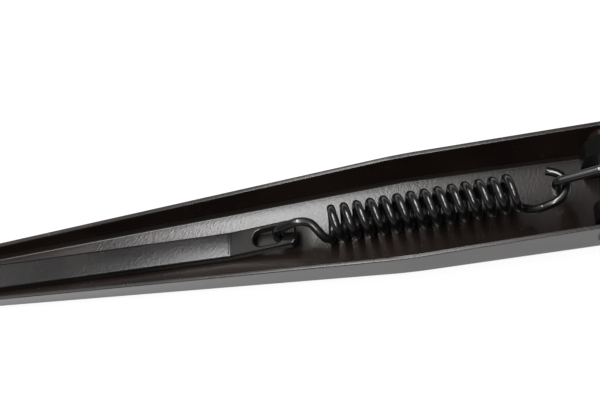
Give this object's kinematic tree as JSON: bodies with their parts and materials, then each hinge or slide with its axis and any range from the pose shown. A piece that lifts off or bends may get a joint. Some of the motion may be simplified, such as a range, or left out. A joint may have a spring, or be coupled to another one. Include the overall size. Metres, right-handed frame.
{
  "type": "wiper arm",
  "caption": "Sprung windscreen wiper arm: tapering folded channel with a hook bar riveted in it, a tension spring on a wire link and a cast head hinged to a spindle boss.",
  "frame": {"origin": "on the spindle axis, where the stud hole meets the taper in the head's boss", "axes": "+X along the arm to the hook, +Z out of the boss's mouth and out of the open side; the arm lies on its back as pictured"},
  "size_m": [0.516, 0.038, 0.021],
  "materials": {
    "channel_paint": "satin black stove paint with a fine orange-peel",
    "bar_paint": "satin black paint on flat bar",
    "head_paint": "satin black paint on a casting",
    "spring_black": "gloss black coated spring wire",
    "pin_steel": "dark steel under worn black paint",
    "bush_plastic": "dark grey moulded plastic",
    "cover_plastic": "grained black moulded plastic"
  },
  "bodies": {
    "arm": {"channel": "channel_paint", "blade_bar": "bar_paint", "bar_rivet_inner": "bar_paint", "bar_rivet_outer": "bar_paint", "hinge_pin": "pin_steel"},
    "head": {"arm_head": "head_paint", "hinge_bush_near": "bush_plastic", "hinge_bush_far": "bush_plastic", "nut_cover": "cover_plastic", "link_pin": "pin_steel"},
    "link": {"spring_link": "spring_black"},
    "spring": {"tension_spring": "spring_black"}
  },
  "joints": [
    {"name": "arm_hinge", "type": "hinge", "parent": "arm", "child": "head", "pos_m": [0.046, 0, -0.0027], "axis": [0, -1, 0], "range_deg": [0, 80], "stiffness_Nm_per_rad": 0.12, "springref_deg": -114.59},
    {"name": "link_pivot", "type": "hinge", "parent": "head", "child": "link", "pos_m": [0.045, 0, 0.003], "axis": [0, -1, 0], "range_deg": [-76, 0]},
    {"name": "spring_stretch", "type": "slide", "parent": "arm", "child": "spring", "axis": [-0.7484, 0, -0.6632], "range_m": [0, 0.0063], "deforming": ["tension_spring"]}
  ],
  "couplings": [
    {"joint": "link_pivot", "follows": "arm_hinge", "ratio": -0.93892},
    {"joint": "spring_stretch", "follows": "arm_hinge", "m_per_rad": 0.0044769}
  ]
}
